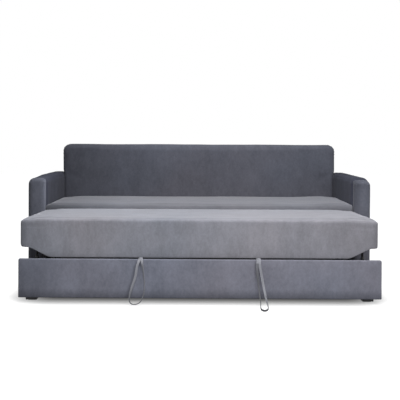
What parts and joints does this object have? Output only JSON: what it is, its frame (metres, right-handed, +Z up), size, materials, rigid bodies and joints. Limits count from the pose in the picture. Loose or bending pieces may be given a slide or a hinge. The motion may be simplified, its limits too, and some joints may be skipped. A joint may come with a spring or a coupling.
{
  "type": "sofa bed",
  "caption": "Three-seat velvet sofa bed with slim slab arms and a straight back; a trundle on castors rolls out and its mattress lifts to seat height.",
  "frame": {"origin": "on the floor, at the middle of the outline of the opened sofa bed without its pull loops", "axes": "+X to the right as one faces the sofa, +Y towards the back, +Z up"},
  "size_m": [2.2, 1.8287, 0.855],
  "materials": {
    "velvet": "matte",
    "timber": "matte",
    "black_steel": "satin",
    "black_nylon": "satin",
    "webbing": "matte"
  },
  "bodies": {
    "sofa_base": {"arm_cover_left": "velvet", "arm_cover_right": "velvet", "arm_frame_left": "timber", "arm_frame_right": "timber", "arm_boards_left": "timber", "arm_boards_right": "timber", "back_cover": "velvet", "back_top_rail": "timber", "back_bottom_rail": "timber", "back_studs": "timber", "bay_rear_panel": "velvet", "seat_front_rail": "velvet", "seat_rear_rail": "timber", "seat_side_rail_left": "timber", "seat_side_rail_right": "timber", "seat_slats": "timber", "slat_holders": "black_nylon", "seat_cushion": "velvet", "frame_bolts": "black_steel", "feet_left": "black_nylon", "feet_right": "black_nylon"},
    "trundle": {"panel_cover": "velvet", "panel_board": "timber", "panel_angles": "black_steel", "side_rail_left": "black_steel", "side_rail_right": "black_steel", "cross_tube_front": "black_steel", "cross_tube_middle": "black_steel", "cross_tube_rear": "black_steel", "lever_brackets_left": "black_steel", "lever_brackets_right": "black_steel", "pivot_pins": "black_steel", "castor_housings_front": "black_nylon", "castor_housings_rear": "black_nylon", "castor_axles": "black_steel", "loop_tabs": "webbing", "pull_loop_left": "webbing", "pull_loop_right": "webbing"},
    "front_levers": {"front_lever_left": "black_steel", "front_lever_right": "black_steel"},
    "rear_levers": {"rear_lever_left": "black_steel", "rear_lever_right": "black_steel"},
    "raised_bed": {"bed_front_plank": "timber", "bed_rear_plank": "timber", "bed_end_boards": "timber", "bed_outer_bearers": "timber", "bed_inner_bearers": "timber", "bed_slats": "timber", "lug_left": "black_steel", "lug_right": "black_steel", "lug_pins": "black_steel", "lug_screws": "black_steel", "front_mattress": "velvet"},
    "castor_wheel_front_left": {"wheel_front_left": "black_nylon"},
    "castor_wheel_front_right": {"wheel_front_right": "black_nylon"},
    "castor_wheel_rear_left": {"wheel_rear_left": "black_nylon"},
    "castor_wheel_rear_right": {"wheel_rear_right": "black_nylon"}
  },
  "joints": [
    {"name": "trundle_roll", "type": "slide", "parent": "sofa_base", "child": "trundle", "axis": [0, -1, 0], "range_m": [0, 0.4]},
    {"name": "lift_front_levers", "type": "hinge", "parent": "trundle", "child": "front_levers", "pos_m": [0, -0.2893, 0.094], "axis": [1, 0, 0], "range_deg": [0, 21.73]},
    {"name": "lift_rear_levers", "type": "hinge", "parent": "trundle", "child": "rear_levers", "pos_m": [0, -0.0393, 0.094], "axis": [1, 0, 0], "range_deg": [-0.5, 22.23]},
    {"name": "bed_level", "type": "hinge", "parent": "front_levers", "child": "raised_bed", "pos_m": [0, -0.71496, 0.24], "axis": [1, 0, 0], "range_deg": [-22.23, 0.5]},
    {"name": "wheel_spin_front_left", "type": "hinge", "parent": "trundle", "child": "castor_wheel_front_left", "pos_m": [-0.94, -0.72, 0.024], "axis": [1, 0, 0], "continuous": true},
    {"name": "wheel_spin_front_right", "type": "hinge", "parent": "trundle", "child": "castor_wheel_front_right", "pos_m": [0.94, -0.72, 0.024], "axis": [1, 0, 0], "continuous": true},
    {"name": "wheel_spin_rear_left", "type": "hinge", "parent": "trundle", "child": "castor_wheel_rear_left", "pos_m": [-0.94, -0.08, 0.024], "axis": [1, 0, 0], "continuous": true},
    {"name": "wheel_spin_rear_right", "type": "hinge", "parent": "trundle", "child": "castor_wheel_rear_right", "pos_m": [0.94, -0.08, 0.024], "axis": [1, 0, 0], "continuous": true}
  ],
  "couplings": [
    {"joint": "lift_rear_levers", "follows": "lift_front_levers", "ratio": 1},
    {"joint": "bed_level", "follows": "lift_front_levers", "ratio": -1},
    {"joint": "wheel_spin_front_left", "follows": "trundle_roll", "rad_per_m": 41.667},
    {"joint": "wheel_spin_front_right", "follows": "trundle_roll", "rad_per_m": 41.667},
    {"joint": "wheel_spin_rear_left", "follows": "trundle_roll", "rad_per_m": 41.667},
    {"joint": "wheel_spin_rear_right", "follows": "trundle_roll", "rad_per_m": 41.667}
  ]
}
